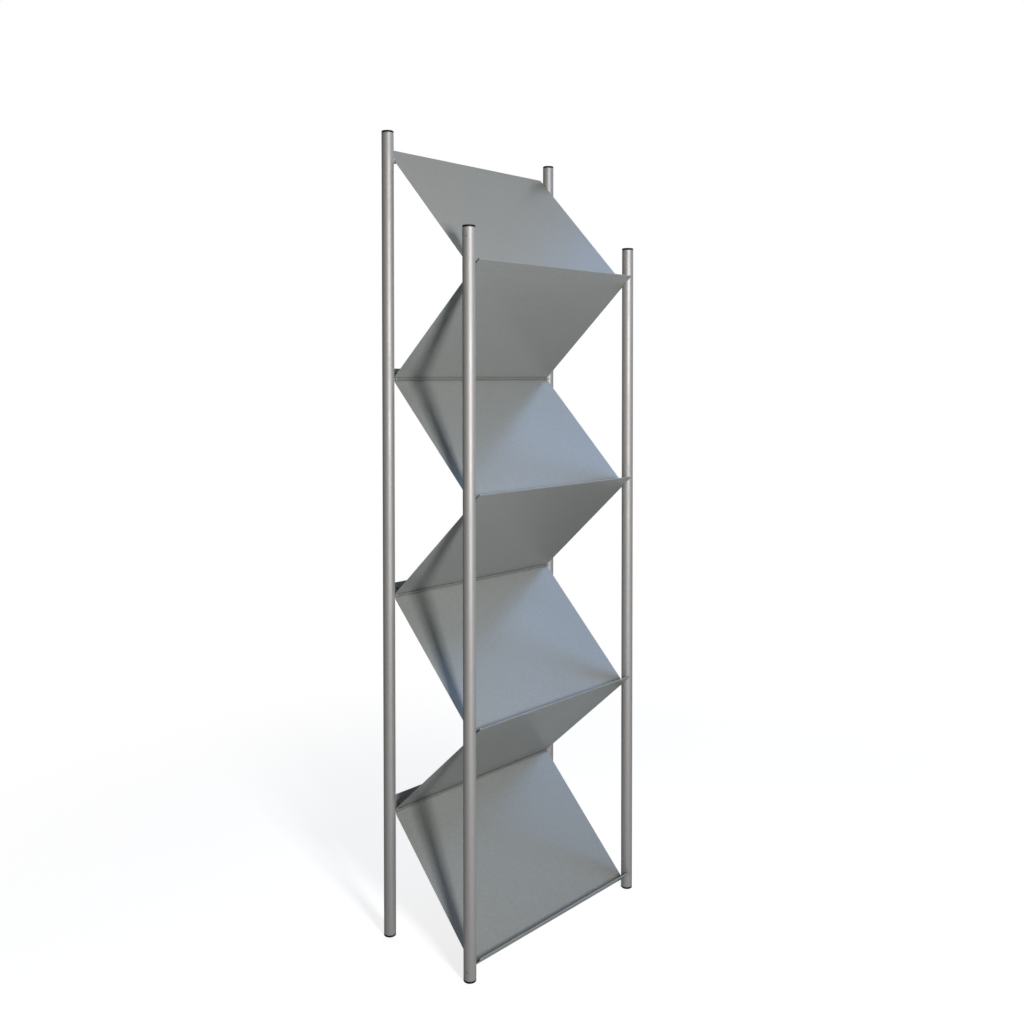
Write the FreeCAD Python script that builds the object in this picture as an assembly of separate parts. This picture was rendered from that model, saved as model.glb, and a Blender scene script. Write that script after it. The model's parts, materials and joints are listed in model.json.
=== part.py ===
import FreeCAD, Part
import math
import os

# Free-standing periodical rack. Four tube posts carry eight cross rods, and seven folded
# metal sheets zigzag down between the rods: four shelves face the front, three face the rear.
# X is the width, -Y the front, +Z up, in millimetres. The origin is on the floor, in the middle.

V = FreeCAD.Vector
X_AXIS = V(1, 0, 0)
Z_AXIS = V(0, 0, 1)

# ---- driving dimensions ---------------------------------------------------------------------
POST_SPACING_X = 500.0      # between post centres, across the rack
POST_SPACING_Y = 238.0      # between post centres, front to back
TUBE_RADIUS = 12.5
TUBE_WALL = 1.5
FRONT_HEIGHT = 1453.0       # floor to the top of the front caps
BACK_HEIGHT = 1669.0        # floor to the top of the back caps

SHELF_PITCH = 450.0         # one front shelf to the next
SHELF_DROP = 239.0          # fall of a front shelf, from its back rod to its front rod
TOP_SHELF_DROP = 235.5      # the same for the top shelf, which lies on its back rod
LOW_ROD_Z = 21.0            # height of the lowest front rod
FRONT_SHELVES = 4
REAR_SHELVES = 3
ROD_RADIUS = 2.5
ROD_INSET = 7.5             # the rods run this far inside the post centres, front and back

SHEET_WIDTH = 480.0
SHEET = 0.8                 # thickness of the sheet metal
SEAT = 0.05                 # play between a sheet and the rod it rests on
FOLD_RADIUS = 1.4           # mid-sheet radius of a fold
SEAM_PLAY = 0.15            # play on each side of a tongue in its hem
LIP_REACH = 18.0            # a lip's horizontal reach past the post centres
HEM_RETURN = 12.0           # length of sheet turned back inside a lip
TONGUE_GAP = 2.0            # from the tongue's edge to the crown of the hem above it
LIP_4_SLOPE = math.radians(46.0)
TONGUE_HALF_WIDTH = 222.0   # tongues stop short of the posts, so the hem ends are open

NOTCH_HALF_X = 236.0        # sheets are notched in to here beside each post
NOTCH_BOTTOM_Y = 5.0        # half length of the notch at its bottom, and
NOTCH_MOUTH_Y = 8.2         # at the side edge of the sheet

CAP_RIM = 4.5               # visible height of a tube plug
PLUG_DEPTH = 13.0           # how far a plug reaches into its tube
PLUG_TAPER = 0.8            # how far each rib end leans in towards the tip
PLUG_RIB = 2.0              # thickness of the two crossed ribs
PLUG_PLAY = 0.15            # between the ribs' ends and the bore
ROD_HOLE_PLAY = 0.15
VENT_RADIUS = 1.5
VENT_INSET = 17.0           # from either end of a tube to its small side hole
VENT_ANGLE = math.radians(17.0)  # turned from the outer side towards the outer front or back

# ---- places worked out from them ------------------------------------------------------------
POST_X = POST_SPACING_X / 2
POST_Y = POST_SPACING_Y / 2
ROD_Y = POST_Y - ROD_INSET
BORE_RADIUS = TUBE_RADIUS - TUBE_WALL
HALF_SHEET = SHEET / 2
UPPER_OFFSET = ROD_RADIUS + SEAT + HALF_SHEET       # mid-sheet of the sheet that rests on a rod
LOWER_OFFSET = UPPER_OFFSET + SHEET + SEAM_PLAY     # mid-sheet of the one that passes below it
HEM_RADIUS = SHEET + SEAM_PLAY                      # mid-sheet radius of a hem's 180 degree turn

FRONT_ROD_Z = [LOW_ROD_Z + SHELF_PITCH * (FRONT_SHELVES - 1 - i) for i in range(FRONT_SHELVES)]
BACK_ROD_Z = [FRONT_ROD_Z[0] + TOP_SHELF_DROP]
BACK_ROD_Z += [z + SHELF_DROP for z in FRONT_ROD_Z[1:]]


def point(y, z):
    """A point of a sheet's side profile, in the plane X = 0."""
    return V(0, y, z)


def left_of(direction):
    """The direction turned a quarter turn to the left, seen with +Y right and +Z up."""
    return V(0, -direction.z, direction.y)


def turn_angle(before, after):
    """Signed turn from one direction to the next, positive to the left."""
    cross = before.y * after.z - before.z * after.y
    return math.atan2(cross, before.dot(after))


def offset_side(points, radii, shift):
    """Edges of a bent line that runs `shift` to the left of the mid-sheet line."""
    dirs = [(b - a).normalize() for a, b in zip(points, points[1:])]
    edges = []
    start = points[0] + left_of(dirs[0]) * shift
    for i in range(1, len(points) - 1):
        turn = turn_angle(dirs[i - 1], dirs[i])
        side = math.copysign(1.0, turn)
        setback = radii[i - 1] * math.tan(abs(turn) / 2)
        centre = points[i] - dirs[i - 1] * setback + left_of(dirs[i - 1]) * side * radii[i - 1]
        radius = radii[i - 1] - side * shift
        arc_in = centre - left_of(dirs[i - 1]) * side * radius
        arc_out = centre - left_of(dirs[i]) * side * radius
        middle = (arc_in + arc_out) * 0.5 - centre
        arc_mid = centre + middle.normalize() * radius
        if (arc_in - start).Length > 1e-6:
            edges.append(Part.makeLine(start, arc_in))
        edges.append(Part.Arc(arc_in, arc_mid, arc_out).toShape())
        start = arc_out
    end = points[-1] + left_of(dirs[-1]) * shift
    if (end - start).Length > 1e-6:
        edges.append(Part.makeLine(start, end))
    return edges, points[0] + left_of(dirs[0]) * shift, end


def folded_sheet(points, radii, half_width):
    """A sheet of even thickness, folded along the mid-sheet line and extruded across the rack."""
    left, left_start, left_end = offset_side(points, radii, HALF_SHEET)
    right, right_start, right_end = offset_side(points, radii, -HALF_SHEET)
    caps = [Part.makeLine(left_start, right_start), Part.makeLine(left_end, right_end)]
    wire = Part.Wire(Part.__sortEdges__(left + right + caps))
    face = Part.Face(wire)
    face.translate(X_AXIS * -half_width)
    return face.extrude(X_AXIS * (2 * half_width))


def panel_slope(high_rod, low_rod, high_offset, low_offset):
    """Angle above the horizontal of a sheet that passes over one rod and under or over another."""
    run = high_rod - low_rod
    return math.atan2(run.z, abs(run.y)) - math.asin((high_offset + low_offset) / run.Length)


def crossing(p, p_dir, q, q_dir):
    """Where two lines of the profile plane meet."""
    gap = q - p
    det = p_dir.y * -q_dir.z + q_dir.y * p_dir.z
    s = (gap.y * -q_dir.z + q_dir.y * gap.z) / det
    return p + p_dir * s


class Panel:
    """Mid-sheet line of one shelf: over its low rod, and under (or over) its high rod.

    `facing` is -1 for a shelf whose low edge is at the front, and +1 for a rear shelf.
    """

    def __init__(self, high_rod, low_rod, facing, high_offset=LOWER_OFFSET):
        slope = panel_slope(high_rod, low_rod, high_offset, UPPER_OFFSET)
        self.facing = facing
        self.uphill = V(0, -facing * math.cos(slope), math.sin(slope))
        self.normal = V(0, facing * math.sin(slope), math.cos(slope))
        self.low_rod = low_rod
        self.low_point = low_rod + self.normal * UPPER_OFFSET


def lip_corner(start, lip_dir, inward):
    """First corner of a lip's hem, placed so that the hem's crown has the lip's full reach."""
    crown_y = math.copysign(POST_Y + LIP_REACH - HEM_RADIUS - HALF_SHEET, lip_dir.y)
    straight_end_y = crown_y - inward.y * HEM_RADIUS
    run = (straight_end_y - start.y) / lip_dir.y
    return start + lip_dir * (run + HEM_RADIUS)


def hem_points(tip, uphill, inward):
    """Turn-back of a lip: two square corners that one 180 degree bend fills, and its end."""
    inner = tip + inward * (2 * HEM_RADIUS)
    return [tip, inner, inner - uphill * (HEM_RETURN + HEM_RADIUS)]


def tongue_corner(panel, lip_dir, lip_normal):
    """Corner of the mid-sheet line where the low end of a shelf turns up into the lip."""
    tongue_point = panel.low_rod - lip_normal * UPPER_OFFSET
    return crossing(panel.low_point, panel.uphill, tongue_point, lip_dir)


def post_notches(post_y):
    """Two prisms beside the front or the back posts, which notch the sheets' side edges."""
    outline = [(NOTCH_HALF_X, -NOTCH_BOTTOM_Y), (NOTCH_HALF_X, NOTCH_BOTTOM_Y),
               (SHEET_WIDTH / 2, NOTCH_MOUTH_Y), (POST_X, NOTCH_MOUTH_Y),
               (POST_X, -NOTCH_MOUTH_Y), (SHEET_WIDTH / 2, -NOTCH_MOUTH_Y)]
    prisms = []
    for mirror in (-1, 1):
        corners = [V(mirror * x, post_y + y, 0) for x, y in outline]
        face = Part.Face(Part.makePolygon(corners + corners[:1]))
        prisms.append(face.extrude(Z_AXIS * BACK_HEIGHT))
    return prisms


def tongue_trims(panel, corner, lip_dir):
    """Blocks that narrow the turned-up tongue, from the bend upwards."""
    trims = []
    depth = SHEET + 2 * SEAM_PLAY
    length = 3 * LIP_REACH
    width = SHEET_WIDTH / 2 - TONGUE_HALF_WIDTH
    base = corner + lip_dir * (2 * UPPER_OFFSET)
    across = left_of(lip_dir)
    for x in (-SHEET_WIDTH / 2, TONGUE_HALF_WIDTH):
        corners = [base + across * depth, base - across * depth,
                   base - across * depth + lip_dir * length, base + across * depth + lip_dir * length]
        face = Part.Face(Part.makePolygon(corners + corners[:1]))
        face.translate(X_AXIS * x)
        trims.append(face.extrude(X_AXIS * width))
    return trims


FRONT_RODS = [point(-ROD_Y, z) for z in FRONT_ROD_Z]
BACK_RODS = [point(ROD_Y, z) for z in BACK_ROD_Z]
TOP_PANEL = Panel(BACK_RODS[0], FRONT_RODS[0], -1, high_offset=-UPPER_OFFSET)
FRONT_PANELS = [TOP_PANEL]
FRONT_PANELS += [Panel(BACK_RODS[i], FRONT_RODS[i], -1) for i in range(1, FRONT_SHELVES)]
REAR_PANELS = [Panel(FRONT_RODS[i], BACK_RODS[i + 1], 1) for i in range(REAR_SHELVES)]


def make_shelf(panel, lip_panel, hem_inward=1, lip_slope=None):
    """One folded shelf: low tongue or lip, sloping panel, high lip with its hem, post notches.

    The low end rests on its rod and turns up along `lip_panel`, inside that panel's hem. The
    bottom shelf has no panel to hook into, so its low end is a lip with a hem of its own.
    """
    if lip_panel is not None:
        lip_dir = lip_panel.uphill
        lip_normal = lip_panel.normal
        corner = tongue_corner(panel, lip_dir, lip_normal)
        crown = lip_corner(lip_panel.low_point, lip_dir, lip_normal)
        rise = (crown - corner).dot(lip_dir) - HALF_SHEET - TONGUE_GAP
        low_end = [corner + lip_dir * rise]
        low_radii = []
    else:
        lip_dir = V(0, panel.facing * math.cos(lip_slope), math.sin(lip_slope))
        lip_normal = V(0, -panel.facing * math.sin(lip_slope), math.cos(lip_slope))
        corner = tongue_corner(panel, lip_dir, lip_normal)
        low_end = hem_points(lip_corner(corner, lip_dir, lip_normal), lip_dir, lip_normal)[::-1]
        low_radii = [HEM_RADIUS, HEM_RADIUS]
    hem_side = panel.normal * hem_inward
    high_end = hem_points(lip_corner(panel.low_point, panel.uphill, hem_side), panel.uphill, hem_side)
    points = low_end + [corner] + high_end
    radii = low_radii + [FOLD_RADIUS, HEM_RADIUS, HEM_RADIUS]
    sheet = folded_sheet(points, radii, SHEET_WIDTH / 2)
    tools = post_notches(POST_Y) + post_notches(-POST_Y)
    if lip_panel is not None:
        tools += tongue_trims(panel, corner, lip_dir)
    return sheet.cut(Part.makeCompound(tools))


def make_rod(rod):
    """A cross rod; each end plugs through the inner side of a post, to the post's middle."""
    return Part.makeCylinder(ROD_RADIUS, POST_SPACING_X, rod - X_AXIS * POST_X, X_AXIS)


def make_post(x, y, height, rods):
    """A round tube with a hole for each rod in its inner side and a small hole near each end."""
    low = CAP_RIM
    length = height - 2 * CAP_RIM
    centre = V(x, y, low)
    tube = Part.makeCylinder(TUBE_RADIUS, length, centre)
    tools = [Part.makeCylinder(BORE_RADIUS, length, centre)]
    inward = V(-math.copysign(1.0, x), 0, 0)
    for rod in rods:
        tools.append(Part.makeCylinder(ROD_RADIUS + ROD_HOLE_PLAY, TUBE_RADIUS, rod + X_AXIS * x, inward))
    outward = V(math.copysign(math.cos(VENT_ANGLE), x), math.copysign(math.sin(VENT_ANGLE), y), 0)
    for z in (low + VENT_INSET, low + length - VENT_INSET):
        tools.append(Part.makeCylinder(VENT_RADIUS, TUBE_RADIUS + TUBE_WALL, V(x, y, z), outward))
    return tube.cut(Part.makeCompound(tools))


def make_plug(x, y, z, up):
    """A moulded tube plug: a flat round rim, and two crossed, tapered ribs inside the tube.

    `up` is +1 for a top cap, whose ribs hang down from z, and -1 for a foot.
    """
    half = BORE_RADIUS - PLUG_PLAY
    outline = [V(-half, 0, 0), V(half, 0, 0), V(half - PLUG_TAPER, 0, -PLUG_DEPTH),
               V(PLUG_TAPER - half, 0, -PLUG_DEPTH)]
    face = Part.Face(Part.makePolygon(outline + outline[:1]))
    face.translate(V(0, -PLUG_RIB / 2, 0))
    rib = face.extrude(V(0, PLUG_RIB, 0))
    cross_rib = rib.copy()
    cross_rib.rotate(V(0, 0, 0), Z_AXIS, 90)
    plug = Part.makeCylinder(TUBE_RADIUS, CAP_RIM).fuse([rib, cross_rib]).removeSplitter()
    if up < 0:
        plug = plug.mirror(V(0, 0, 0), Z_AXIS)
    plug.translate(V(x, y, z))
    return plug


def export(shape, node):
    """Write one node and report its size."""
    shape.exportStep(os.path.join("parts", node + ".step"))
    print(node, len(shape.Solids), "solids", round(shape.Volume), "mm3", "valid", shape.isValid())


def main():
    os.makedirs("parts", exist_ok=True)
    for end, y, height, rods in (("front", -POST_Y, FRONT_HEIGHT, FRONT_RODS),
                                 ("back", POST_Y, BACK_HEIGHT, BACK_RODS)):
        for side, x in (("left", -POST_X), ("right", POST_X)):
            place = end + "_" + side
            export(make_post(x, y, height, rods), "post_" + place)
            export(make_plug(x, y, height - CAP_RIM, 1), "top_cap_" + place)
            export(make_plug(x, y, CAP_RIM, -1), "foot_" + place)
        for i, rod in enumerate(rods, start=1):
            export(make_rod(rod), "%s_rod_%d" % (end, i))
    export(make_shelf(TOP_PANEL, REAR_PANELS[0], hem_inward=-1), "shelf_1")
    for i in range(1, REAR_SHELVES):
        export(make_shelf(FRONT_PANELS[i], REAR_PANELS[i]), "shelf_%d" % (i + 1))
    export(make_shelf(FRONT_PANELS[-1], None, lip_slope=LIP_4_SLOPE), "shelf_%d" % FRONT_SHELVES)
    for i in range(REAR_SHELVES):
        export(make_shelf(REAR_PANELS[i], FRONT_PANELS[i + 1]), "rear_shelf_%d" % (i + 1))


main()
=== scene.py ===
"""Looks of a periodical display rack: seven folded sheets carried by four round tubes.

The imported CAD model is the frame. Its tubes, rods and sheets stay and get their finishes here;
the moulded plugs are modelled again with rounded rims, and a grooved collar is added where each
rod enters a tube. Lengths are in metres.
"""

import json
import logging
import math
from collections.abc import Callable
from dataclasses import dataclass, field
from enum import Enum

import bmesh
import bpy
from mathutils import Matrix, Vector

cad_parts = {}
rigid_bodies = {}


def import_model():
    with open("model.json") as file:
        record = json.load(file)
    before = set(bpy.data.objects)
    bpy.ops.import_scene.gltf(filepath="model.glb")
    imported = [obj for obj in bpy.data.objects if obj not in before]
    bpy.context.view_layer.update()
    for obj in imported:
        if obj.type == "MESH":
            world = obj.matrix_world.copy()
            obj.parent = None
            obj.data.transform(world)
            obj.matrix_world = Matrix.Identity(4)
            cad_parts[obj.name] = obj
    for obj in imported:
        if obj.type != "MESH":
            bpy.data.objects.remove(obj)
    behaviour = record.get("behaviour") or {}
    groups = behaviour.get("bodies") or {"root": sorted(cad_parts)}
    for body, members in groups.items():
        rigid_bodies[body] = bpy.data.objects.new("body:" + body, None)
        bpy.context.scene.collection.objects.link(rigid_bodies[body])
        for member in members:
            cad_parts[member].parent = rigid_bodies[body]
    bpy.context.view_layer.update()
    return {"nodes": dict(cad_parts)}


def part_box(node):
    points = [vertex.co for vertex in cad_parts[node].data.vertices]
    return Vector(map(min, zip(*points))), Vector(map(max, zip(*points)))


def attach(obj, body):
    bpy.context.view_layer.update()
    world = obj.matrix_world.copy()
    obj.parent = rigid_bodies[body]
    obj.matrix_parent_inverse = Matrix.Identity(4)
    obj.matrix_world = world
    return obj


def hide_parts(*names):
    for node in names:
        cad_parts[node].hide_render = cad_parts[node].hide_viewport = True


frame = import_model()
ROOT = "root"

NEAR = 1e-5             # how far from a height a vertex may be and still be picked by it
MERGE_DISTANCE = 1e-6   # vertices closer than this become one
PATTERN_DRIFT = 0.3     # sideways part of the shift of a piece's patterns

Colour = tuple[float, float, float]
Triple = tuple[float, float, float]
Span = tuple[float, float]
Socket = bpy.types.NodeSocket
Value = Socket | float

WHITE: Colour = (1.0, 1.0, 1.0)
BLACK: Colour = (0.0, 0.0, 0.0)

log = logging.getLogger("rack")


class Slot(Enum):
    """Material slots of the record."""

    TUBE = "tube"
    SHEET = "sheet"
    ROD = "rod"
    PLUG = "plug"


class Element(Enum):
    """What edit mode selects, as Blender's switches for vertices, edges and faces."""

    EDGES = (False, True, False)
    FACES = (False, False, True)


# ---- node helpers ---------------------------------------------------------------------------


class NodeBench:
    """Adds and links the nodes of one node tree, from left to right."""

    COLUMN_WIDTH = 180       # from one node to the next
    MIX_INPUTS = (0, 6, 7)   # factor and two colours of a Mix node
    MIX_OUTPUT = 2           # its mixed colour

    def __init__(self, tree: bpy.types.NodeTree) -> None:
        """Start an empty tree.

        Args:
            tree: The tree of a material, a world or a group, which is cleared.
        """
        self.tree = tree
        self.tree.nodes.clear()
        self._column = 0

    def feed(self, socket: Socket, value: object) -> None:
        """Link an output to an input socket, or set the socket's plain value.

        Args:
            socket: The input socket.
            value: An output socket or a plain value.
        """
        if isinstance(value, Socket):
            self.tree.links.new(value, socket)
        else:
            socket.default_value = value

    def add(self, kind: str, inputs: dict | None = None, **settings: object) -> bpy.types.Node:
        """Add one node.

        Args:
            kind: Blender's node type.
            inputs: Plain values or output sockets to link, by socket name or number.
            settings: Properties of the node.

        Returns:
            The new node.
        """
        node = self.tree.nodes.new(kind)
        node.location = (self.COLUMN_WIDTH * self._column, 0)
        self._column += 1
        for name, value in settings.items():
            setattr(node, name, value)
        for key, value in (inputs or {}).items():
            self.feed(node.inputs[key], value)
        return node

    def math(self, operation: str, first: Value, second: Value = 0.0,
             third: Value = 0.0) -> Socket:
        """Add a Math node and return its output."""
        inputs = {0: first, 1: second, 2: third}
        return self.add("ShaderNodeMath", inputs, operation=operation).outputs[0]

    def times(self, first: Value, second: Value) -> Socket:
        """Return the product of two values."""
        return self.math("MULTIPLY", first, second)

    def axis(self, vector: Socket, name: str) -> Socket:
        """Return one coordinate of a vector, by its letter."""
        return self.add("ShaderNodeSeparateXYZ", {0: vector}).outputs[name]

    def distance(self, vector: Socket, name: str) -> Socket:
        """Return one coordinate of a vector without its sign."""
        return self.math("ABSOLUTE", self.axis(vector, name))

    def noise(self, vector: Socket, scale: Value, detail: float = 2.0,
              roughness: float = 0.5) -> Socket:
        """Add a Noise Texture and return its value."""
        inputs = {"Vector": vector, "Scale": scale, "Detail": detail, "Roughness": roughness}
        return self.add("ShaderNodeTexNoise", inputs).outputs["Fac"]

    def ramp(self, value: Value, span: Span, ends: tuple[Value, Value] = (0.0, 1.0)) -> Socket:
        """Turn a value into a smooth step.

        Args:
            value: The value.
            span: Where the step starts and where it is complete.
            ends: The results before the step and after it.

        Returns:
            The step's output.
        """
        inputs = {"Value": value, "From Min": span[0], "From Max": span[1],
                  "To Min": ends[0], "To Max": ends[1]}
        node = self.add("ShaderNodeMapRange", inputs, interpolation_type="SMOOTHSTEP")
        return node.outputs["Result"]

    def blend(self, factor: Value, first: Socket | Colour, second: Socket | Colour) -> Socket:
        """Mix two colours.

        Args:
            factor: 0 for the first colour, 1 for the second.
            first: A colour or its socket.
            second: A colour or its socket.

        Returns:
            The mixed colour's output.
        """
        node = self.add("ShaderNodeMix", data_type="RGBA")
        for number, value in zip(self.MIX_INPUTS, (factor, first, second)):
            self.feed(node.inputs[number], (*value, 1.0) if isinstance(value, tuple) else value)
        return node.outputs[self.MIX_OUTPUT]


# ---- shared effects -------------------------------------------------------------------------


@dataclass(frozen=True)
class EffectGroup:
    """A shared effect, built once as a node group with named inputs and one value output."""

    name: str
    inputs: tuple[tuple[str, float], ...]

    def tree(self) -> bpy.types.ShaderNodeTree:
        """Build the group's tree the first time it is wanted.

        Returns:
            The tree, the same for every material.
        """
        found = bpy.data.node_groups.get(self.name)
        if found is not None:
            return found
        tree = bpy.data.node_groups.new(self.name, "ShaderNodeTree")
        tree.interface.new_socket("Vector", in_out="INPUT", socket_type="NodeSocketVector")
        for label, value in self.inputs:
            socket = tree.interface.new_socket(label, in_out="INPUT",
                                               socket_type="NodeSocketFloat")
            socket.default_value = value
        tree.interface.new_socket("Value", in_out="OUTPUT", socket_type="NodeSocketFloat")
        bench = NodeBench(tree)
        value = self.build(bench, bench.add("NodeGroupInput").outputs)
        bench.add("NodeGroupOutput", {"Value": value})
        return tree

    def build(self, bench: NodeBench, given: bpy.types.NodeOutputs) -> Socket:
        """Build the effect between the group's input and output.

        Args:
            bench: Bench of the group's tree.
            given: The group's inputs, by name.

        Returns:
            The socket that carries the effect.
        """
        raise NotImplementedError

    @staticmethod
    def stretch(bench: NodeBench, given: bpy.types.NodeOutputs) -> Socket:
        """Scale the incoming vector by `Along` in X and by `Across` in Y and Z.

        Args:
            bench: Bench of the group's tree.
            given: The group's inputs, by name.

        Returns:
            The scaled vector.
        """
        scale = bench.add("ShaderNodeCombineXYZ", {0: given["Along"], 1: given["Across"],
                                                   2: given["Across"]})
        product = bench.add("ShaderNodeVectorMath", {0: given["Vector"], 1: scale.outputs[0]},
                            operation="MULTIPLY")
        return product.outputs[0]


@dataclass(frozen=True)
class Speckle(EffectGroup):
    """Fine two-scale speckle of a metallic lacquer: about 0 to 1 round a middle of 0.5."""

    coarse_scale: float = 0.27   # scale of the second noise, as a share of the first's

    def build(self, bench: NodeBench, given: bpy.types.NodeOutputs) -> Socket:
        """Average a fine and a coarse noise.

        Args:
            bench: Bench of the group's tree.
            given: The group's inputs, by name.

        Returns:
            The socket that carries the effect.
        """
        fine = bench.noise(given["Vector"], given["Scale"])
        scale = bench.times(given["Scale"], self.coarse_scale)
        coarse = bench.noise(given["Vector"], scale, detail=1.0)
        return bench.times(bench.math("ADD", fine, coarse), 0.5)


@dataclass(frozen=True)
class Streaks(EffectGroup):
    """Long thin streaks that run along X of the incoming vector."""

    def build(self, bench: NodeBench, given: bpy.types.NodeOutputs) -> Socket:
        """Draw a noise out along X.

        Args:
            bench: Bench of the group's tree.
            given: The group's inputs, by name.

        Returns:
            The socket that carries the effect.
        """
        return bench.noise(self.stretch(bench, given), 1.0, detail=3.0, roughness=0.6)


@dataclass(frozen=True)
class Clouds(EffectGroup):
    """Broad soft patches, as handling and wiping leave."""

    span: Span = (0.3, 0.7)      # values of the noise where a patch starts and is full

    def build(self, bench: NodeBench, given: bpy.types.NodeOutputs) -> Socket:
        """Raise the contrast of a broad noise.

        Args:
            bench: Bench of the group's tree.
            given: The group's inputs, by name.

        Returns:
            The socket that carries the effect.
        """
        return bench.ramp(bench.noise(given["Vector"], given["Scale"], detail=3.0), self.span)


@dataclass(frozen=True)
class Scratches(EffectGroup):
    """Sparse thin rubs: a narrow band of a stretched noise, broken up by a second one."""

    width: float = 0.012         # half the band of noise values that shows as a rub
    patch_scale: float = 9.0
    patch_span: Span = (0.55, 0.7)

    def build(self, bench: NodeBench, given: bpy.types.NodeOutputs) -> Socket:
        """Keep the thin band of one noise where a second one is high.

        Args:
            bench: Bench of the group's tree.
            given: The group's inputs, by name.

        Returns:
            The socket that carries the effect.
        """
        noise = bench.noise(self.stretch(bench, given), 1.0, detail=1.0)
        offset = bench.math("ABSOLUTE", bench.math("SUBTRACT", noise, 0.5))
        line = bench.ramp(offset, (0.0, self.width), (1.0, 0.0))
        patch = bench.noise(given["Vector"], self.patch_scale)
        return bench.times(line, bench.ramp(patch, self.patch_span))


SPECKLE = Speckle("metal_speckle", (("Scale", 900.0),))
STREAKS = Streaks("long_streaks", (("Along", 3.0), ("Across", 600.0)))
CLOUDS = Clouds("handling_clouds", (("Scale", 5.0),))
SCRATCHES = Scratches("thin_rubs", (("Along", 12.0), ("Across", 90.0)))
SPECKLE_SPAN: Span = (0.35, 0.65)   # the speckle's values between which a colour varies


# ---- finishes -------------------------------------------------------------------------------


@dataclass(frozen=True)
class Finish:
    """A surface finish: the plain values of its Principled shader.

    In its kinds, a share is how strongly a mark covers what lies under it, a tone is a factor
    on the finish's colour, and a bump is a strength and a height.
    """

    name: str
    colour: Colour
    metallic: float
    roughness: float
    shine: float = 0.5   # Specular IOR Level

    def material(self, offset: float) -> bpy.types.Material:
        """Make the finish a material, shared by all pieces with the same offset.

        Args:
            offset: Shift of the patterns, so that two pieces of one finish differ.

        Returns:
            The material.
        """
        name = f"{self.name}_{int(offset * 100):03d}"
        found = bpy.data.materials.get(name)
        if found is not None:
            return found
        material = bpy.data.materials.new(name)
        material.use_nodes = True
        bench = NodeBench(material.node_tree)
        place = bench.add("ShaderNodeTexCoord").outputs["Object"]
        shift = (offset, PATTERN_DRIFT * offset, 0.0)
        shifted = bench.add("ShaderNodeMapping", {"Vector": place, "Location": shift})
        shader = self.shade(bench, place, shifted.outputs[0])
        bench.add("ShaderNodeOutputMaterial", {"Surface": shader.outputs[0]})
        return material

    def shade(self, bench: NodeBench, place: Socket, shifted: Socket) -> bpy.types.Node:
        """Build the finish.

        Args:
            bench: Bench of the material's tree.
            place: Object coordinates.
            shifted: The same, shifted for this piece.

        Returns:
            The Principled shader node.
        """
        raise NotImplementedError

    @staticmethod
    def effect(bench: NodeBench, group: EffectGroup, vector: Socket, **values: float) -> Socket:
        """Place a shared effect in a material.

        Args:
            bench: Bench of the material's tree.
            group: The effect.
            vector: Coordinates that the effect reads.
            values: Values of the effect's other inputs.

        Returns:
            The effect's value.
        """
        node = bench.add("ShaderNodeGroup", node_tree=group.tree())
        for label, value in {"Vector": vector, **values}.items():
            bench.feed(node.inputs[label], value)
        return node.outputs["Value"]

    def toned(self, tone: float) -> Colour:
        """Return the finish's colour, made darker or lighter by a factor."""
        return tuple(min(1.0, part * tone) for part in self.colour)

    def tint(self, bench: NodeBench, pattern: Socket, span: Span, tones: Span) -> Socket:
        """Vary the finish's colour by a pattern.

        Args:
            bench: Bench of the material's tree.
            pattern: The pattern's value.
            span: Values of the pattern at the two tones.
            tones: Factors on the colour.

        Returns:
            The colour's output.
        """
        return bench.blend(bench.ramp(pattern, span), self.toned(tones[0]), self.toned(tones[1]))

    def uneven(self, bench: NodeBench, pattern: Socket, swing: float, drop: float) -> Socket:
        """Vary the finish's roughness by a pattern.

        Args:
            bench: Bench of the material's tree.
            pattern: The pattern's value, 0 to 1.
            swing: How much rougher the surface is at 1 than at 0.
            drop: How much smoother than the plain value it is at 0.

        Returns:
            The roughness's output.
        """
        return bench.math("MULTIPLY_ADD", pattern, swing, self.roughness - drop)

    def principled(self, bench: NodeBench, colour: Socket, roughness: Socket, height: Socket,
                   bump: Span) -> bpy.types.Node:
        """Add the Principled shader.

        Args:
            bench: Bench of the material's tree.
            colour: The base colour.
            roughness: The roughness.
            height: The pattern that the bump follows.
            bump: The bump's strength and height.

        Returns:
            The shader node.
        """
        relief = bench.add("ShaderNodeBump", {"Height": height, "Strength": bump[0],
                                              "Distance": bump[1]})
        inputs = {"Base Color": colour, "Metallic": self.metallic, "Roughness": roughness,
                  "Specular IOR Level": self.shine, "Normal": relief.outputs["Normal"]}
        return bench.add("ShaderNodeBsdfPrincipled", inputs)


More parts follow.
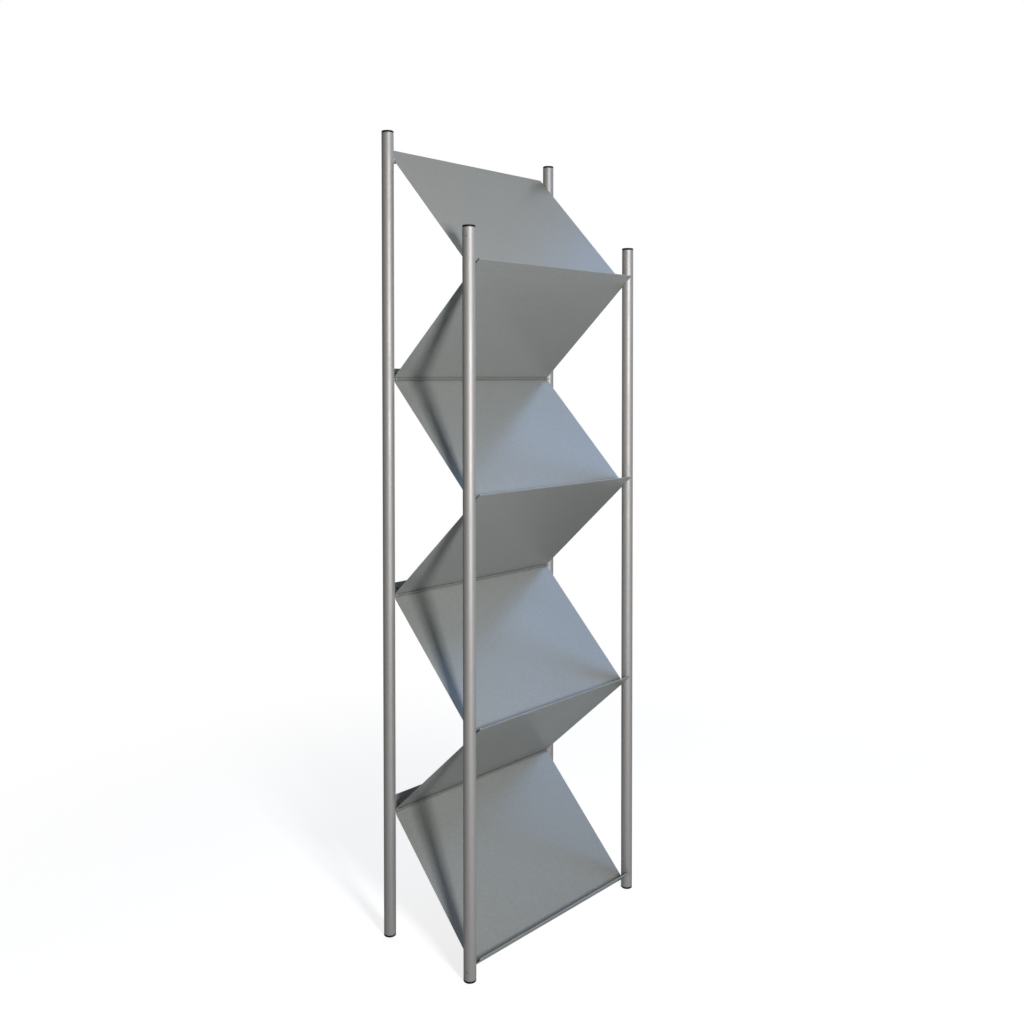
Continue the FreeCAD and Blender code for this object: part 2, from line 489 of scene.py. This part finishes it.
@dataclass(frozen=True)
class LacqueredSheet(Finish):
    """Silver-grey satin lacquer on folded steel, with a fine metal speckle.

    The side edges are worn. Hem crests get a painted highlight of the light from above, and
    the hems' cut ends are painted near-black as painted shade of the gap between the layers.
    """

    speckle_scale: float = 700.0
    speckle_tones: Span = (0.95, 1.05)
    cloud_scale: float = 4.5
    cloud_share: float = 0.07
    cloud_tone: float = 0.8
    rim: Span = (0.2384, 0.2398)            # where the side's wear starts and is full, in X
    rim_clouds: Span = (0.2, 0.9)
    rim_shares: Span = (0.15, 0.55)
    # tone of the worn side edges, and also of the painted highlight on the hem crests
    wear_and_highlight_tone: float = 1.55
    hem: Span = (0.118, 0.119)              # where a sheet becomes a hem, in Y
    facing: Span = (0.80, 0.95)             # part of the normal along an axis
    # share of the painted highlight on the upward-facing hem crests
    crest_highlight_share: float = 0.85
    # painted shade: near-black colour of the hems' cut ends, for the shaded gap between their
    # layers
    gap_shade_colour: Colour = (0.012, 0.012, 0.012)
    roughness_swing: float = 0.05
    roughness_drop: float = 0.02
    bump: Span = (0.04, 0.0004)

    def shade(self, bench: NodeBench, place: Socket, shifted: Socket) -> bpy.types.Node:
        """Build the lacquer.

        Args:
            bench: Bench of the material's tree.
            place: Object coordinates.
            shifted: The same, shifted for this piece.

        Returns:
            The Principled shader node.
        """
        speckle = self.effect(bench, SPECKLE, shifted, Scale=self.speckle_scale)
        clouds = self.effect(bench, CLOUDS, shifted, Scale=self.cloud_scale)
        base = self.tint(bench, speckle, SPECKLE_SPAN, self.speckle_tones)
        base = bench.blend(bench.times(clouds, self.cloud_share), base,
                           self.toned(self.cloud_tone))
        rim = bench.ramp(bench.distance(place, "X"), self.rim)
        worn = bench.times(rim, bench.ramp(clouds, self.rim_clouds, self.rim_shares))
        base = bench.blend(worn, base, self.toned(self.wear_and_highlight_tone))
        normal = bench.add("ShaderNodeNewGeometry").outputs["True Normal"]
        hem = bench.ramp(bench.distance(place, "Y"), self.hem)
        # Painted highlight: upward-facing hem crests are made lighter, where the fold catches the
        # light from above.
        crest_highlight = bench.times(bench.ramp(bench.axis(normal, "Z"), self.facing), hem)
        base = bench.blend(bench.times(crest_highlight, self.crest_highlight_share), base,
                           self.toned(self.wear_and_highlight_tone))
        # Painted shade: the hems' cut ends, facing along X, are made near-black for the gap
        # between their layers.
        gap_shade = bench.times(bench.ramp(bench.distance(normal, "X"), self.facing), hem)
        base = bench.blend(gap_shade, base, self.gap_shade_colour)
        roughness = self.uneven(bench, clouds, self.roughness_swing, self.roughness_drop)
        return self.principled(bench, base, roughness, speckle, self.bump)


@dataclass(frozen=True)
class SatinTube(Finish):
    """Satin aluminium tube: fine lines along the tube and faint handling marks."""

    line_scales: Span = (6.0, 1500.0)       # along the tube and across it
    line_weight: float = 0.6                # of the lines against the speckle, in the bump
    rub_scales: Span = (14.0, 260.0)
    rub_share: float = 0.25
    rub_tone: float = 1.35
    speckle_scale: float = 1100.0
    speckle_tones: Span = (0.96, 1.04)
    cloud_scale: float = 9.0
    cloud_share: float = 0.10
    cloud_tone: float = 0.78
    roughness_swing: float = 0.07
    roughness_drop: float = 0.03
    bump: Span = (0.04, 0.0003)

    def shade(self, bench: NodeBench, place: Socket, shifted: Socket) -> bpy.types.Node:
        """Build the satin metal.

        Args:
            bench: Bench of the material's tree.
            place: Object coordinates.
            shifted: The same, shifted for this piece.

        Returns:
            The Principled shader node.
        """
        upright = bench.add("ShaderNodeVectorRotate", {"Vector": shifted, "Angle": math.pi / 2},
                            rotation_type="Y_AXIS").outputs[0]
        drawn = self.effect(bench, STREAKS, upright, Along=self.line_scales[0],
                            Across=self.line_scales[1])
        speckle = self.effect(bench, SPECKLE, shifted, Scale=self.speckle_scale)
        clouds = self.effect(bench, CLOUDS, shifted, Scale=self.cloud_scale)
        rubs = self.effect(bench, SCRATCHES, upright, Along=self.rub_scales[0],
                           Across=self.rub_scales[1])
        base = self.tint(bench, speckle, SPECKLE_SPAN, self.speckle_tones)
        base = bench.blend(bench.times(clouds, self.cloud_share), base,
                           self.toned(self.cloud_tone))
        base = bench.blend(bench.times(rubs, self.rub_share), base, self.toned(self.rub_tone))
        roughness = self.uneven(bench, clouds, self.roughness_swing, self.roughness_drop)
        height = bench.math("MULTIPLY_ADD", drawn, self.line_weight, speckle)
        return self.principled(bench, base, roughness, height, self.bump)


@dataclass(frozen=True)
class DrawnRod(Finish):
    """Drawn steel with fine lines along X, and a second tone beyond a distance from the middle."""

    ends_from: float = 0.2350
    ends_colour: Colour = (0.42, 0.41, 0.40)
    ends_fade: float = 0.0003
    line_scales: Span = (8.0, 2200.0)       # along the rod and across it
    line_span: Span = (0.3, 0.7)
    line_tones: Span = (0.86, 1.06)
    cloud_scale: float = 14.0
    cloud_share: float = 0.15
    cloud_tone: float = 0.7
    roughness_swing: float = 0.12
    roughness_drop: float = 0.06
    bump: Span = (0.05, 0.0002)

    def shade(self, bench: NodeBench, place: Socket, shifted: Socket) -> bpy.types.Node:
        """Build the drawn steel.

        Args:
            bench: Bench of the material's tree.
            place: Object coordinates.
            shifted: The same, shifted for this piece.

        Returns:
            The Principled shader node.
        """
        drawn = self.effect(bench, STREAKS, shifted, Along=self.line_scales[0],
                            Across=self.line_scales[1])
        clouds = self.effect(bench, CLOUDS, shifted, Scale=self.cloud_scale)
        base = self.tint(bench, drawn, self.line_span, self.line_tones)
        base = bench.blend(bench.times(clouds, self.cloud_share), base,
                           self.toned(self.cloud_tone))
        # Past ends_from the colour changes: on the rods it is the paler end beside the painted
        # crease shade, on the collars it is painted shade by the tube.
        ends = bench.ramp(bench.distance(place, "X"),
                          (self.ends_from, self.ends_from + self.ends_fade))
        base = bench.blend(ends, base, self.ends_colour)
        roughness = self.uneven(bench, drawn, self.roughness_swing, self.roughness_drop)
        return self.principled(bench, base, roughness, drawn, self.bump)


@dataclass(frozen=True)
class MouldedPlastic(Finish):
    """Black moulded plastic with a fine eroded grain and a trace of dust on top."""

    grain_scale: float = 1600.0
    grain_tones: Span = (0.8, 1.25)
    dust_scale: float = 40.0
    dust_facing: Span = (0.75, 1.0)         # upward part of the normal
    dust_share: float = 0.10
    dust_colour: Colour = (0.22, 0.21, 0.20)
    roughness_swing: float = 0.16
    roughness_drop: float = 0.08
    bump: Span = (0.18, 0.0003)

    def shade(self, bench: NodeBench, place: Socket, shifted: Socket) -> bpy.types.Node:
        """Build the plastic.

        Args:
            bench: Bench of the material's tree.
            place: Object coordinates.
            shifted: The same, shifted for this piece.

        Returns:
            The Principled shader node.
        """
        grain = self.effect(bench, SPECKLE, shifted, Scale=self.grain_scale)
        clouds = self.effect(bench, CLOUDS, shifted, Scale=self.dust_scale)
        base = self.tint(bench, grain, SPECKLE_SPAN, self.grain_tones)
        normal = bench.add("ShaderNodeNewGeometry").outputs["Normal"]
        dust = bench.times(bench.ramp(bench.axis(normal, "Z"), self.dust_facing), clouds)
        base = bench.blend(bench.times(dust, self.dust_share), base, self.dust_colour)
        roughness = self.uneven(bench, grain, self.roughness_swing, self.roughness_drop)
        return self.principled(bench, base, roughness, grain, self.bump)


SHEET_FINISH = LacqueredSheet("sheet_lacquer", (0.320, 0.330, 0.314), 0.20, 0.30)
TUBE_FINISH = SatinTube("satin_tube", (0.42, 0.406, 0.392), 0.55, 0.56)
# Painted shade: the rod's dark colour stands for the shade in the creases where it lies; only its
# ends, past ends_from, take the paler ends_colour.
ROD_FINISH = DrawnRod("drawn_rod", (0.215, 0.22, 0.215), 0.2, 0.50)
PLUG_FINISH = MouldedPlastic("black_plug", (0.009, 0.009, 0.010), 0.0, 0.58, 0.22)
# The collar's near-black part next to the tube is painted shade of the rim of the tube's hole.
COLLAR_FINISH = DrawnRod("rod_collar", (0.52, 0.51, 0.50), 0.3, 0.42,
                         ends_from=0.2380, ends_colour=(0.020, 0.020, 0.021))


# ---- modelling helpers ----------------------------------------------------------------------


class Workshop:
    """Operators that several pieces share: a fresh selection, edit mode, and finishing."""

    @staticmethod
    def deselect() -> None:
        """Deselect every object and leave no active one."""
        for obj in bpy.context.view_layer.objects:
            obj.select_set(False)
        bpy.context.view_layer.objects.active = None

    @staticmethod
    def edit() -> bpy.types.Object:
        """Put the new primitive's place in its mesh and enter edit mode.

        Returns:
            The primitive's object.
        """
        obj = bpy.context.active_object
        bpy.ops.object.transform_apply(location=True, rotation=True, scale=True)
        bpy.ops.object.mode_set(mode="EDIT")
        bpy.ops.mesh.select_all(action="SELECT")
        return obj

    @staticmethod
    def select(element: Element,
               test: Callable[[bmesh.types.BMEdge | bmesh.types.BMFace], bool]) -> None:
        """Select the edges or faces in edit mode that pass a test, and nothing else.

        Args:
            element: Whether edges or faces are picked.
            test: Function of an edge or face that returns True for a wanted one.
        """
        mesh = bmesh.from_edit_mesh(bpy.context.edit_object.data)
        bpy.ops.mesh.select_all(action="DESELECT")
        bpy.context.tool_settings.mesh_select_mode = element.value
        elements = mesh.edges if element is Element.EDGES else mesh.faces
        for wanted in [item for item in elements if test(item)]:
            wanted.select_set(True)
        mesh.select_flush_mode()
        bmesh.update_edit_mesh(bpy.context.edit_object.data)

    @staticmethod
    def finish(obj: bpy.types.Object, name: str, angle: float = 35.0) -> bpy.types.Object:
        """Leave edit mode with merged vertices and outward faces, and smooth by angle.

        Args:
            obj: The object in edit mode.
            name: Name of the finished piece.
            angle: Edges sharper than this many degrees stay sharp.

        Returns:
            The same object.
        """
        bpy.ops.mesh.select_all(action="SELECT")
        bpy.ops.mesh.remove_doubles(threshold=MERGE_DISTANCE)
        bpy.ops.mesh.normals_make_consistent(inside=False)
        bpy.ops.object.mode_set(mode="OBJECT")
        obj.name = name
        obj.data.name = name
        bpy.ops.object.shade_smooth_by_angle(angle=math.radians(angle))
        return obj

    @staticmethod
    def copy_to(source: bpy.types.Object, name: str, matrix: Matrix) -> bpy.types.Object:
        """Copy a finished piece with its own mesh.

        Args:
            source: The piece.
            name: Name of the copy.
            matrix: Where the copy goes; it is applied to the mesh.

        Returns:
            The copy, with its object at the origin.
        """
        obj = source.copy()
        obj.data = source.data.copy()
        obj.name = name
        obj.data.name = name
        obj.data.transform(matrix)
        bpy.context.scene.collection.objects.link(obj)
        return obj

    @staticmethod
    def fit_out(obj: bpy.types.Object, material: bpy.types.Material, slot: Slot) -> None:
        """Give a finished piece its material, and let it ride on the rack.

        Args:
            obj: The piece.
            material: Its material.
            slot: Its slot of the record; not used.
        """
        obj.data.materials.clear()
        obj.data.materials.append(material)
        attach(obj, ROOT)


# ---- the rack's parts -----------------------------------------------------------------------


@dataclass
class CadDressing:
    """Puts the finishes on the CAD nodes."""

    finishes: dict[Slot, Finish] = field(default_factory=lambda: {
        Slot.TUBE: TUBE_FINISH, Slot.SHEET: SHEET_FINISH, Slot.ROD: ROD_FINISH,
        Slot.PLUG: PLUG_FINISH})
    step: float = 0.37   # shift of the patterns from one node to the next

    @staticmethod
    def slot_of(node: str) -> Slot:
        """Read the material slot of a CAD node from its name.

        Args:
            node: The node's name.

        Returns:
            The slot.
        """
        if node.startswith("post_"):
            return Slot.TUBE
        if "shelf" in node:
            return Slot.SHEET
        if "_rod_" in node:
            return Slot.ROD
        return Slot.PLUG

    def build(self) -> list[str]:
        """Give every CAD node its finish, each with the pattern shifted.

        Returns:
            Names of the dressed nodes.
        """
        names = sorted(frame["nodes"])
        for count, name in enumerate(names, start=1):
            material = self.finishes[self.slot_of(name)].material(self.step * count)
            for place in frame["nodes"][name].material_slots:
                place.material = material
        return names


@dataclass
class EndPlugs:
    """The moulded plugs in the tube ends: rounded rim, shallow dish and a small gate mark."""

    radius: float = 0.0125
    rim: float = 0.0045
    rounding: float = 0.0013
    rounding_steps: int = 6
    dish_radius: float = 0.0085
    dish_wall: float = 0.0006
    dish_depth: float = 0.0003
    gate_radius: float = 0.0011
    gate_wall: float = 0.0003
    gate_depth: float = 0.0002
    sides: int = 72
    step: float = 0.11   # shift of the patterns from one plug to the next

    def is_top(self, item: bmesh.types.BMEdge | bmesh.types.BMFace) -> bool:
        """Tell whether an edge or a face lies in the plug's visible end."""
        return all(vertex.co.z > self.rim - NEAR for vertex in item.verts)

    def model(self) -> bpy.types.Object:
        """Model one plug head.

        Returns:
            The head, with its seat on z = 0 and its visible face at z = rim.
        """
        Workshop.deselect()
        bpy.ops.mesh.primitive_cylinder_add(vertices=self.sides, radius=self.radius,
                                            depth=self.rim, location=(0.0, 0.0, self.rim / 2))
        obj = Workshop.edit()
        Workshop.select(Element.EDGES, self.is_top)
        bpy.ops.mesh.bevel(offset=self.rounding, segments=self.rounding_steps, affect="EDGES")
        Workshop.select(Element.FACES, self.is_top)
        bpy.ops.mesh.inset(thickness=self.radius - self.rounding - self.dish_radius)
        bpy.ops.mesh.inset(thickness=self.dish_wall)
        bpy.ops.transform.translate(value=(0.0, 0.0, -self.dish_depth))
        bpy.ops.mesh.inset(thickness=self.dish_radius - self.dish_wall - self.gate_radius)
        bpy.ops.mesh.inset(thickness=self.gate_wall)
        bpy.ops.transform.translate(value=(0.0, 0.0, -self.gate_depth))
        return Workshop.finish(obj, "plug_head")

    def build(self) -> list[str]:
        """Place a head at each end of each tube, in place of the CAD plug.

        Returns:
            Names of the plugs.
        """
        head = self.model()
        plugs = [name for name in sorted(frame["nodes"])
                 if name.startswith(("top_cap_", "foot_"))]
        pieces = []
        for count, name in enumerate(plugs, start=1):
            low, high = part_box(name)
            is_cap = name.startswith("top_cap_")
            middle = (low + high) / 2
            turn = Matrix.Rotation(0.0 if is_cap else math.pi, 4, "X")
            seat = high.z - self.rim if is_cap else low.z + self.rim
            place = Matrix.Translation((middle.x, middle.y, seat)) @ turn
            piece = Workshop.copy_to(head, name + "_moulded", place)
            Workshop.fit_out(piece, PLUG_FINISH.material(self.step * count), Slot.PLUG)
            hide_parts(name)
            pieces.append(piece.name)
        bpy.data.objects.remove(head)
        return pieces


@dataclass
class RodCollars:
    """Collars at the tubes: a pale ferrule, a groove, and painted shade of the hole's rim."""

    start: float = 0.2364   # from the rack's middle to a collar's inner face
    # Radius and place along the rod, once round the section.
    profile: tuple[Span, ...] = (
        (0.00255, 0.0), (0.0035, 0.0), (0.0038, 0.0003), (0.0038, 0.0011), (0.0034, 0.0014),
        (0.0037, 0.0017), (0.0037, 0.0025), (0.0034, 0.0028), (0.00255, 0.0028))
    sides: int = 40
    smooth_angle: float = 40.0
    shift: float = 0.21     # shift of the patterns, one for all collars

    def model(self) -> bpy.types.Object:
        """Extrude a ring from corner to corner of the profile, and back to the first.

        Returns:
            The collar, round the X axis and from x = 0 outwards.
        """
        Workshop.deselect()
        bpy.ops.mesh.primitive_circle_add(vertices=self.sides, radius=self.profile[0][0],
                                          location=(0.0, 0.0, 0.0),
                                          rotation=(0.0, math.pi / 2, 0.0))
        obj = Workshop.edit()
        corners = zip(self.profile, self.profile[1:] + self.profile[:1])
        for (radius, along), (next_radius, next_along) in corners:
            move = {"value": (next_along - along, 0.0, 0.0)}
            bpy.ops.mesh.extrude_edges_move(TRANSFORM_OT_translate=move)
            spread = next_radius / radius
            bpy.ops.transform.resize(value=(1.0, spread, spread),
                                     center_override=(0.0, 0.0, 0.0))
        return Workshop.finish(obj, "collar", self.smooth_angle)

    def build(self) -> list[str]:
        """Place a collar at both ends of each rod.

        Returns:
            Names of the collars.
        """
        collar = self.model()
        material = COLLAR_FINISH.material(self.shift)
        outwards = Matrix.Translation((self.start, 0.0, 0.0))
        pieces = []
        for name in (node for node in sorted(frame["nodes"]) if "_rod_" in node):
            low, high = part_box(name)
            middle = (low + high) / 2
            on_rod = Matrix.Translation((0.0, middle.y, middle.z))
            for side, turn in (("left", math.pi), ("right", 0.0)):
                place = on_rod @ Matrix.Rotation(turn, 4, "Z") @ outwards
                piece = Workshop.copy_to(collar, f"{name}_collar_{side}", place)
                Workshop.fit_out(piece, material, Slot.ROD)
                pieces.append(piece.name)
        bpy.data.objects.remove(collar)
        return pieces


# ---- studio ---------------------------------------------------------------------------------


@dataclass(frozen=True)
class StudioCamera:
    """The camera: place, aim in degrees, and the lens in pixels of a square picture."""

    place: Triple = (-1.623496, -1.523058, 1.168588)
    yaw: float = 46.756
    pitch: float = -1.273
    roll: float = -0.032
    focal: float = 1029.839
    centre_y: float = 397.712   # picture row of the lens axis
    picture: float = 1024.0     # the picture's side
    sensor: float = 36.0        # the sensor's side in millimetres
    reach: float = 100.0        # the farthest thing that it shows

    def build(self) -> None:
        """Create the camera and make it the scene's."""
        data = bpy.data.cameras.new("studio_camera")
        data.sensor_width = self.sensor
        data.lens = self.focal * self.sensor / self.picture
        data.shift_y = (self.centre_y - self.picture / 2) / self.picture
        data.clip_end = self.reach
        camera = bpy.data.objects.new("studio_camera", data)
        aim = Matrix.Rotation(-math.radians(self.yaw), 4, "Z")
        aim = aim @ Matrix.Rotation(math.radians(90.0 + self.pitch), 4, "X")
        aim = aim @ Matrix.Rotation(math.radians(self.roll), 4, "Z")
        camera.matrix_world = Matrix.Translation(self.place) @ aim
        bpy.context.scene.collection.objects.link(camera)
        bpy.context.scene.camera = camera


@dataclass(frozen=True)
class SoftLight:
    """A rectangular soft light that points at a target."""

    name: str
    place: Triple
    target: Triple
    size: Span
    power: float
    colour: Colour = WHITE

    def build(self) -> None:
        """Create the light."""
        data = bpy.data.lights.new(self.name, "AREA")
        data.shape = "RECTANGLE"
        data.size, data.size_y = self.size
        data.energy = self.power
        data.color = self.colour
        light = bpy.data.objects.new(self.name, data)
        light.location = self.place
        aim = Vector(self.target) - Vector(self.place)
        light.rotation_euler = aim.to_track_quat("-Z", "Y").to_euler()
        bpy.context.scene.collection.objects.link(light)


@dataclass
class Studio:
    """Floor, world and lights.

    The camera sees a white backdrop and a pale floor. Other rays meet a dimmer room, which is
    lighter on some sides, and a greyer floor with a dark patch on it. A turn is the pair of
    cosines, between a ray and a side, at which that side's tone starts and is full.
    """

    lights: tuple[SoftLight, ...] = (
        SoftLight("key", (-1.02, -2.39, 1.38), (0.0, 0.0, 1.5), (0.42, 0.75), 67.0),
        SoftLight("window", (2.3, -0.56, 2.2), (0.2, -0.10, 0.75), (1.5, 2.05), 12.8,
                  (0.13, 0.42, 1.0)),
    )
    window_side: Triple = (1.0, 0.0, 0.0)
    window_turn: Span = (-0.4, 0.8)
    window_fill: Span = (0.0, 0.28)
    back_side: Triple = (0.6, 0.8, 0.0)
    back_turn: Span = (0.1, 0.9)
    back_fill: Span = (0.0, 0.70)
    mirror_side: Triple = (0.612, 0.354, 0.707)
    mirror_turn: Span = (0.3, 1.0)
    mirror_tones: Span = (0.22, 0.68)
    floor_size: float = 40.0
    floor_colour: Colour = (0.50, 0.50, 0.50)
    floor_lift: float = 0.76                # light added to the floor that the camera sees
    floor_fade: Span = (0.5, 1.8)           # distances at which it starts and ends to turn white
    floor_mirror: float = 0.20              # light of the floor in mirrored rays
    bounce_colour: Colour = (0.265, 0.290, 0.303)
    # A dark patch on the floor, which only bounce and mirrored rays meet; it darkens the
    # reflections and bounce light on the right of the rack.
    dark_patch_place: Triple = (1.35, 0.08, 0.0)
    dark_patch_edge: Span = (0.30, 0.62)           # distances at which its edge starts and ends
    dark_patch_tone: float = 0.10                  # of the floor's tone away from the patch

    @staticmethod
    def rays(bench: NodeBench) -> tuple[Socket, Socket]:
        """Tell what kind of ray meets a surface.

        Args:
            bench: Bench of the tree.

        Returns:
            1 for camera rays, and 1 for glossy and transmission rays.
        """
        path = bench.add("ShaderNodeLightPath").outputs
        mirrored = bench.math("MAXIMUM", path["Is Glossy Ray"], path["Is Transmission Ray"])
        return path["Is Camera Ray"], mirrored

    @staticmethod
    def toward(bench: NodeBench, way: Socket, side: Triple, turn: Span, ends: Span) -> Socket:
        """Return a tone that rises between two ends as a direction turns to a side."""
        dot = bench.add("ShaderNodeVectorMath", {0: way, 1: side}, operation="DOT_PRODUCT")
        return bench.ramp(dot.outputs["Value"], turn, ends)

    def build_world(self) -> None:
        """Make a white backdrop, and a room that is lighter by the window and at the back."""
        world = bpy.data.worlds.new("studio")
        bpy.context.scene.world = world
        world.use_nodes = True
        bench = NodeBench(world.node_tree)
        way = bench.add("ShaderNodeTexCoord").outputs["Generated"]
        camera, mirrored = self.rays(bench)
        window = self.toward(bench, way, self.window_side, self.window_turn, self.window_fill)
        behind = self.toward(bench, way, self.back_side, self.back_turn, self.back_fill)
        room = bench.math("ADD", window, behind)
        mirror = self.toward(bench, way, self.mirror_side, self.mirror_turn, self.mirror_tones)
        met = bench.add("ShaderNodeMix", {0: mirrored, 2: room, 3: mirror}).outputs[0]
        strength = bench.math("MAXIMUM", met, camera)
        back = bench.add("ShaderNodeBackground", {"Color": (*WHITE, 1.0), "Strength": strength})
        bench.add("ShaderNodeOutputWorld", {"Surface": back.outputs[0]})

    def shown_floor(self, bench: NodeBench, place: Socket) -> bpy.types.Node:
        """Make the floor that the camera sees: pale, and white away from the rack.

        Args:
            bench: Bench of the floor's tree.
            place: Object coordinates.

        Returns:
            The shader node.
        """
        away = bench.add("ShaderNodeVectorMath", {0: place}, operation="LENGTH")
        fade = bench.ramp(away.outputs["Value"], self.floor_fade)
        pale = bench.add("ShaderNodeBsdfDiffuse", {"Color": (*self.floor_colour, 1.0)})
        lift = bench.add("ShaderNodeEmission", {"Strength": self.floor_lift})
        lifted = bench.add("ShaderNodeAddShader", {0: pale.outputs[0], 1: lift.outputs[0]})
        white = bench.add("ShaderNodeEmission", {"Strength": 1.0})
        return bench.add("ShaderNodeMixShader", {0: fade, 1: lifted.outputs[0],
                                                 2: white.outputs[0]})

    def met_floor(self, bench: NodeBench, place: Socket, mirrored: Socket) -> bpy.types.Node:
        """Make the floor that other rays meet: greyer, with the dark patch.

        Args:
            bench: Bench of the floor's tree.
            place: Object coordinates.
            mirrored: 1 for glossy and transmission rays.

        Returns:
            The shader node.
        """
        away = bench.add("ShaderNodeVectorMath", {0: place, 1: self.dark_patch_place},
                         operation="DISTANCE")
        outside_patch = bench.ramp(away.outputs["Value"], self.dark_patch_edge, (self.dark_patch_tone, 1.0))
        tone = bench.blend(outside_patch, BLACK, self.bounce_colour)
        bounce = bench.add("ShaderNodeBsdfDiffuse", {"Color": tone})
        glow = bench.times(bench.times(mirrored, self.floor_mirror), outside_patch)
        mirror = bench.add("ShaderNodeEmission", {"Strength": glow})
        return bench.add("ShaderNodeAddShader", {0: bounce.outputs[0], 1: mirror.outputs[0]})

    def build_floor(self) -> None:
        """Make a wide floor that takes the rack's shadow."""
        Workshop.deselect()
        bpy.ops.mesh.primitive_plane_add(size=self.floor_size, location=(0.0, 0.0, 0.0))
        floor = bpy.context.active_object
        floor.name = "floor"
        material = bpy.data.materials.new("floor")
        material.use_nodes = True
        bench = NodeBench(material.node_tree)
        place = bench.add("ShaderNodeTexCoord").outputs["Object"]
        camera, mirrored = self.rays(bench)
        shown = self.shown_floor(bench, place)
        met = self.met_floor(bench, place, mirrored)
        mix = bench.add("ShaderNodeMixShader", {0: camera, 1: met.outputs[0],
                                                2: shown.outputs[0]})
        bench.add("ShaderNodeOutputMaterial", {"Surface": mix.outputs[0]})
        floor.data.materials.append(material)

    def build(self) -> None:
        """Build the whole studio."""
        self.build_world()
        self.build_floor()
        for light in self.lights:
            light.build()
        bpy.context.scene.view_settings.view_transform = "Standard"


def main() -> None:
    """Dress the rack, build its own pieces, report each, and build the studio."""
    logging.basicConfig(level=logging.INFO, format="%(message)s")
    for kind, maker in (("dressed CAD node", CadDressing()), ("end plug", EndPlugs()),
                        ("rod collar", RodCollars())):
        for name in maker.build():
            log.info("%s: %s", kind, name)
    Studio().build()
    StudioCamera().build()


if __name__ == "__main__":
    main()
